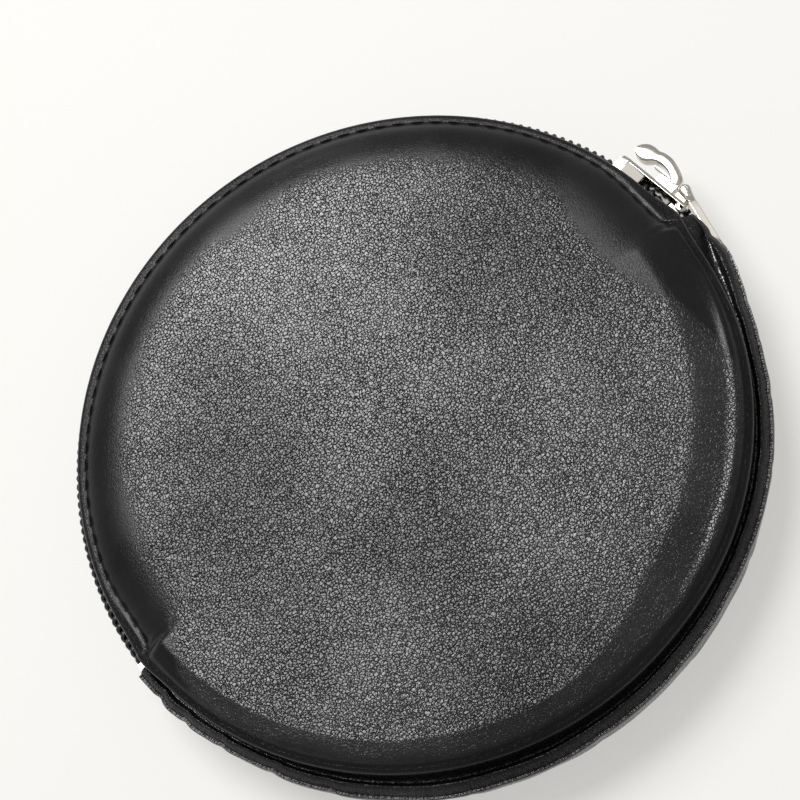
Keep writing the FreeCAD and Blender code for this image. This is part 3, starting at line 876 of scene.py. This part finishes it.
def squared(value, power):
    """Sine or cosine drawn towards its extremes, which makes a circle squarer."""
    return math.copysign(abs(value) ** power, value)


def make_coil(half):
    """One long nylon filament wound in flat turns, meshing with the other half's turns,
    and the core that the turns lie round."""
    step = math.degrees(COIL_PITCH / COIL_OUT_R)
    turns = int((COIL_END - COIL_START) / step)
    middle_r = (COIL_OUT_R + TAPE_R) / 2 + 0.1
    half_r = (COIL_OUT_R - TAPE_R) / 2 - FILAMENT_R - 0.10
    reach = COIL_WIDTH / 2 - FILAMENT_R + 0.16
    middle_z = MID - COIL_WIDTH / 2 + 0.14
    offset = 0.5 if half.outward > 0 else 0.0
    points = []
    for i in range(turns * TURN_STEPS + 1):
        t = 2 * math.pi * (i % TURN_STEPS) / TURN_STEPS
        # the filament crosses over quickly at the outer edge of each turn
        advance = i / TURN_STEPS + 0.12 * math.sin(t)
        angle = COIL_START + (advance + offset) * step
        sway = 0.2 * bump_at(angle, SWAY_MIDDLE, SWAY_WIDTH)
        radius = middle_r + sway + half_r * squared(math.cos(t), 0.75)
        level = level_in(half, middle_z + reach * squared(math.sin(t), 0.6))
        points.append(polar(radius, angle, level))
    core = []
    for i in range(CORE_STEPS + 1):
        angle = COIL_START + (COIL_END - COIL_START) * i / CORE_STEPS
        core.append(polar(middle_r + 0.3, angle, level_in(half, middle_z)))
    piece = tube_curve(half.side + "_coil", [points, core], FILAMENT_R, 2)
    finish_piece(piece, NYLON, half.body, half.side + "_zip_coil")


# ---- the slider, drawn with X outwards, Y along the zip away from the closed end, Z across ----

SLIDER_PLACE = (Matrix.Translation((0, 0, MID * MM))
                @ Matrix.Rotation(math.radians(SLIDER_ANGLE), 4, "Z"))
# steps of a rounded corner and of a pillow's rim
CORNER_STEPS = 4
RIM_STEPS = 5


class Solids:
    """Several closed solids gathered into one mesh, with softened edges."""

    def __init__(self):
        self.vertices = []
        self.faces = []

    def loops(self, loops):
        """Skin over equal closed loops of points, with flat ends."""
        self.faces += skin(len(self.vertices), len(loops), len(loops[0]))
        self.vertices += [Vector(p) * MM for loop in loops for p in loop]

    def prism_x(self, outline, low, high):
        """Outline of (y, z) points, carried from x = low to x = high."""
        self.loops([[(x, y, z) for y, z in outline] for x in (low, high)])

    def prism_z(self, outline, low, high):
        """Outline of (x, y) points, carried from z = low to z = high."""
        self.loops([[(x, y, z) for x, y in outline] for z in (low, high)])

    def dome_z(self, outline, low, high):
        """Outline of (x, y) points, carried along Z and drawn in towards its far end."""
        centre = sum((Vector(p) for p in outline), Vector((0, 0))) / len(outline)
        loops = []
        for share, size in ((0.0, 1.0), (0.55, 0.97), (0.85, 0.82), (1.0, 0.5)):
            z = low + (high - low) * share
            loops.append([(*(centre + (Vector(p) - centre) * size), z) for p in outline])
        self.loops(loops)

    def build(self, name, place, bevel, segments=3):
        piece = new_solid(name, self.vertices, self.faces)
        piece.data.transform(place)
        soft = piece.modifiers.new("soft_edges", "BEVEL")
        soft.width = bevel * MM
        soft.segments = segments
        soft.limit_method = "ANGLE"
        soft.angle_limit = math.radians(30)
        piece.modifiers.new("even_shading", "WEIGHTED_NORMAL")
        return piece


def rounded(outline, radius):
    """The outline with each corner replaced by an arc that touches both its sides."""
    points = [Vector(p) for p in outline]
    result = []
    for i, corner in enumerate(points):
        before = points[i - 1] - corner
        after = points[(i + 1) % len(points)] - corner
        limit = 0.45 * min(before.length, after.length)
        before.normalize()
        after.normalize()
        half = math.acos(max(-1.0, min(1.0, before.dot(after)))) / 2
        reach = min(radius / math.tan(half), limit)
        first = corner + before * reach
        last = corner + after * reach
        for k in range(CORNER_STEPS + 1):
            t = k / CORNER_STEPS
            result.append((1 - t) ** 2 * first + 2 * t * (1 - t) * corner + t**2 * last)
    return [tuple(p) for p in result]


def pillow(solids, outline, half_width, rim):
    """Outline of (x, y) points given a width along Z, its two rims rounded over."""
    points = [Vector(p) for p in outline]
    following = points[1:] + points[:1]
    area = sum(p.x * q.y - q.x * p.y for p, q in zip(points, following))
    inward = []
    for i, after in enumerate(following):
        along = (after - points[i - 1]).normalized()
        inward.append(Vector((-along.y, along.x)) * (1 if area > 0 else -1))
    levels = []
    for k in range(RIM_STEPS + 1):
        bend = math.radians(90 * k / RIM_STEPS)
        levels.append((half_width - rim * (1 - math.sin(bend)), rim * (1 - math.cos(bend))))
    levels = [(-z, inset) for z, inset in reversed(levels)] + levels
    solids.loops([[(p.x + n.x * inset, p.y + n.y * inset, z) for p, n in zip(points, inward)]
                  for z, inset in levels])


def slider_plate_outline():
    half = SLIDER_HALF
    outline = [(-half + 1.3, 0.0), (-half, 1.5), (-half + 0.7, 3.05), (-2.0, 3.05), (1.7, 2.95),
               (half - 1.5, 2.95), (half - 0.45, 2.5), (half, 1.45), (half, 0.0)]
    mirrored = [(y, -z) for y, z in reversed(outline[1:-1])]
    return rounded(outline + mirrored, 0.4)


def make_slider():
    under = PLATE_TOP - PLATE
    solids = Solids()
    solids.loops([[(x, y, z * share) for y, z in slider_plate_outline()]
                  for x, share in ((under, 1.0), (PLATE_TOP, 0.96))])
    solids.prism_x(slider_plate_outline(), 45.1, 45.65)
    tail = SLIDER_HALF
    for side in (1, -1):
        wall = [(1.7, 2.52), (tail - 1.85, 2.97), (tail - 0.12, 2.25), (tail - 0.02, 1.5),
                (tail - 0.5, 1.45), (tail - 0.65, 1.9), (tail - 1.95, 2.35), (1.7, 1.95)]
        solids.prism_x([(y, z * side) for y, z in wall], 46.95, under + 0.2)
        wing = [(under + 0.25, -4.3), (47.95, -4.95), (47.85, -6.0), (49.0, -6.55),
                (under + 0.3, -5.6)]
        solids.dome_z(wing, 2.45 * side, 3.0 * side)
        nose = [(-6.55, 0.95), (-6.65, 1.5), (-5.95, 3.0), (-5.2, 3.0), (-5.6, 1.5)]
        solids.prism_x([(y, z * side) for y, z in nose], 48.3, under + 0.2)
    diamond = [(-5.2, 0.0), (-3.9, 0.78), (-2.6, 0.0), (-3.9, -0.78)]
    solids.prism_x(diamond, 45.4, under + 0.2)
    lug = rounded([(PLATE_TOP - 0.2, -4.55), (PLATE_TOP + 2.7, -4.5), (PLATE_TOP + 2.7, -2.7),
                   (PLATE_TOP - 0.2, -2.65)], 0.7)
    solids.prism_z(lug, -0.62, 0.62)
    piece = solids.build("slider_shell", SLIDER_PLACE, 0.11)
    finish_piece(piece, NICKEL, "slider", "slider_body")


def make_bridge():
    """Thick strap over the slider, on a block near the nose, with a rounded free head above the tail."""
    base = PLATE_TOP
    # (rise, along) on the strap's outer and inner lines, from its foot to its free end
    outer = [(2.0, -2.42), (3.0, -2.1), (3.85, -0.6), (4.42, 1.2), (4.42, 2.6), (4.15, 3.5), (4.2, 4.4),
             (4.0, 5.4), (3.3, 6.2), (2.5, 6.52)]
    inner = [(1.5, -0.9), (2.15, -0.25), (2.6, 0.7), (2.72, 1.7), (2.6, 2.6), (2.2, 3.4), (1.7, 3.95),
             (1.42, 4.7), (1.5, 5.6), (1.85, 6.2)]
    loops = []
    for (ox, oy), (ix, iy) in zip(smooth_open(outer, 5), smooth_open(inner, 5)):
        middle = Vector(((ox + ix) / 2, (oy + iy) / 2))
        half = Vector(((ox - ix) / 2, (oy - iy) / 2))
        ring = []
        for k in range(STRAP_POINTS):
            turn = 2 * math.pi * k / STRAP_POINTS
            share = squared(math.cos(turn), STRAP_SQUARENESS)
            width = squared(math.sin(turn), STRAP_SQUARENESS)
            ring.append((base + middle.x + half.x * share, middle.y + half.y * share, width))
        loops.append(ring)
    solids = Solids()
    solids.loops(loops)
    block = [(base - 0.1, -2.3), (base + 2.3, -2.3), (base + 2.1, -1.0), (base + 1.85, 0.0),
             (base + 1.75, 1.15), (base - 0.1, 1.15)]
    pillow(solids, rounded(block, 0.25), 0.8, 0.12)
    piece = solids.build("slider_bridge_strap", SLIDER_PLACE, 0.02, 1)
    finish_piece(piece, NICKEL, "slider", "slider_bridge")


def pull_place():
    """The pull's hinge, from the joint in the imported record, and the way the pull points at rest."""
    joint = next(j for j in frame["joints"] if j["name"] == "pull_swing")
    return Matrix.Translation(joint["pos_m"]) @ Matrix.Rotation(math.radians(PULL_DIRECTION), 4, "Z")


def make_pull():
    """Plain flat bar with a forked eye, drawn along X from its hinge."""
    thick = PULL_HALF_THICK
    solids = Solids()
    bar = rounded([(1.7, -2.0), (3.4, -2.0), (12.9, -1.95), (13.95, -1.0), (13.95, 1.0), (12.9, 1.95),
                   (3.4, 2.0), (1.7, 2.0)], 0.5)
    solids.loops([[(x, y, z * share) for x, z in bar] for y, share in ((-thick, 1.0), (thick, 0.85))])
    turns = [math.radians(60 + 240 * k / 12) for k in range(13)]
    ear = [(0.95 * math.cos(turn), 0.95 * math.sin(turn)) for turn in turns]
    ear += [(2.2, -thick), (2.2, thick)]
    for side in (1, -1):
        solids.dome_z(ear, 0.8 * side, 2.0 * side)
    piece = solids.build("pull_bar", pull_place(), 0.13)
    finish_piece(piece, NICKEL, "pull_tab", "pull_tab")


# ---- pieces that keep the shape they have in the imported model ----

KEPT = {
    "back_board": BOARD, "front_board": BOARD,
    "near_zip_end_tab": GUSSET_LEATHER, "far_zip_end_tab": GUSSET_LEATHER,
    "back_gusset_seam": THREAD, "front_gusset_seam": THREAD,
    "back_top_stop": BRUSHED_NICKEL, "front_top_stop": BRUSHED_NICKEL, "zip_bottom_stop": BRUSHED_NICKEL,
    "slider_lock_spring": SPRING_STEEL, "pull_pin": NICKEL,
}


def dress_kept_nodes():
    for name, material in KEPT.items():
        mesh = frame["nodes"][name].data
        mesh.materials.clear()
        mesh.materials.append(material)


# ---- camera, lights and floor ----

# camera: degrees, metres to the purse's middle, and millimetres that the middle is off centre
CAMERA_TILT = 23.2
CAMERA_TURN = 4.0
CAMERA_ROLL = 36.0
CAMERA_ANGLE = 25.0
CAMERA_DISTANCE = 0.25
AIM_RIGHT = 1.2
AIM_UP = -5.0
# softbox: degrees off the leather's mirror direction, which way, metres, and power
SOFTBOX_OFF = 7.0
SOFTBOX_WAY = 150.0
SOFTBOX_DISTANCE = 1.0
SOFTBOX_SIZE = 0.62
SOFTBOX_POWER = 11.2
# small lamps that only the nickel mirrors
LAMP_SIZE = 0.17
NICKEL_GLOW = (1.0, 0.97, 0.92)
WORLD_STRENGTH = 0.38
FLOOR_HALF = 4
# the leather of the lower face is uneven, and the floor just clears its lowest bulge
FLOOR_LEVEL = -0.05


def view_axes():
    """(towards the camera, image right, image up) in the purse's frame."""
    tilt = math.radians(CAMERA_TILT)
    turn = Matrix.Rotation(-math.radians(CAMERA_TURN), 3, "Z")
    roll = math.radians(CAMERA_ROLL)
    towards = turn @ Vector((0, -math.sin(tilt), math.cos(tilt)))
    right = turn @ Vector((1, 0, 0))
    up = turn @ Vector((0, math.cos(tilt), math.sin(tilt)))
    rolled_right = right * math.cos(roll) - up * math.sin(roll)
    rolled_up = right * math.sin(roll) + up * math.cos(roll)
    return towards, rolled_right, rolled_up


def add_camera():
    towards, right, up = view_axes()
    centre = Vector((0, 0, MID * MM))
    camera = add_object("camera", bpy.data.cameras.new("camera"))
    camera.data.angle = math.radians(CAMERA_ANGLE)
    camera.data.clip_start = 0.01
    place = centre + towards * CAMERA_DISTANCE - right * AIM_RIGHT * MM - up * AIM_UP * MM
    axes = Matrix((right, up, towards)).transposed().to_4x4()
    camera.matrix_world = Matrix.Translation(place) @ axes
    bpy.context.scene.camera = camera


def add_light(name, direction, distance, size, power, colour=(1, 1, 1)):
    light = bpy.data.lights.new(name, "AREA")
    light.shape = "DISK"
    light.size = size
    light.energy = power
    light.color = colour
    lamp = add_object(name, light)
    aim = Vector(direction).normalized()
    lamp.location = aim * distance
    lamp.rotation_euler = aim.to_track_quat("Z", "Y").to_euler()


def beside_mirror(off, turn):
    """Direction that stands off degrees away from where the flat leather mirrors to the camera."""
    towards, right, up = view_axes()
    mirror = Vector((-towards.x, -towards.y, towards.z))
    side = right * math.cos(math.radians(turn)) + up * math.sin(math.radians(turn))
    side = (side - mirror * side.dot(mirror)).normalized()
    return mirror * math.cos(math.radians(off)) + side * math.sin(math.radians(off))


def mirrored(point, normal):
    """Direction that a small mirror at the point, with this normal, shows to the camera."""
    to_camera = (bpy.context.scene.camera.location - point).normalized()
    return 2 * to_camera.dot(normal) * normal - to_camera


def facing(way, lean):
    """Normal of a surface that leans this many degrees from level, the way given in degrees."""
    along = math.radians(way)
    tilt = math.radians(lean)
    across = math.sin(tilt)
    return Vector((across * math.cos(along), across * math.sin(along), math.cos(tilt)))


def add_world():
    world = bpy.data.worlds.new("studio")
    world.use_nodes = True
    background = world.node_tree.nodes["Background"]
    background.inputs["Color"].default_value = (1.0, 0.99, 0.97, 1.0)
    background.inputs["Strength"].default_value = WORLD_STRENGTH
    bpy.context.scene.world = world
    bpy.context.scene.view_settings.view_transform = "Standard"


def add_floor():
    corners = [(-1, -1), (1, -1), (1, 1), (-1, 1)]
    vertices = [(x * FLOOR_HALF, y * FLOOR_HALF, FLOOR_LEVEL * MM) for x, y in corners]
    floor = new_object("floor", vertices, [(0, 1, 2, 3)])
    floor.data.materials.append(floor_material())


def add_lights():
    add_light("softbox", beside_mirror(SOFTBOX_OFF, SOFTBOX_WAY), SOFTBOX_DISTANCE, SOFTBOX_SIZE,
              SOFTBOX_POWER)
    slider_at = polar(50.0, SLIDER_ANGLE + 1.0, MID)
    pull_at = polar(51.0, SLIDER_ANGLE - 16.0, MID)
    # (name, place it serves, way the metal's surface leans there, lean in degrees, power)
    lamps = (("flat_sides_lamp", slider_at, SLIDER_ANGLE + 90, 0.0, 0.10),
             ("tail_lamp", slider_at, SLIDER_ANGLE + 90, 23.0, 0.20),
             ("wall_lamp", slider_at, SLIDER_ANGLE + 90, -8.1, 0.036),
             ("pull_lamp", pull_at, PULL_DIRECTION + 90, 15.3, 0.045))
    for name, place, way, lean, power in lamps:
        spot = place + mirrored(place, facing(way, lean))
        add_light(name, spot, spot.length, LAMP_SIZE, power, NICKEL_GLOW)


def main():
    add_camera()
    add_world()
    add_floor()
    add_lights()
    for make in (make_face, make_topstitching):
        for half in HALVES:
            make(half)
    make_gusset()
    make_gusset_lining()
    for make in (make_lining, make_foam, make_tape, make_coil):
        for half in HALVES:
            make(half)
    make_slider()
    make_bridge()
    make_pull()
    dress_kept_nodes()


main()
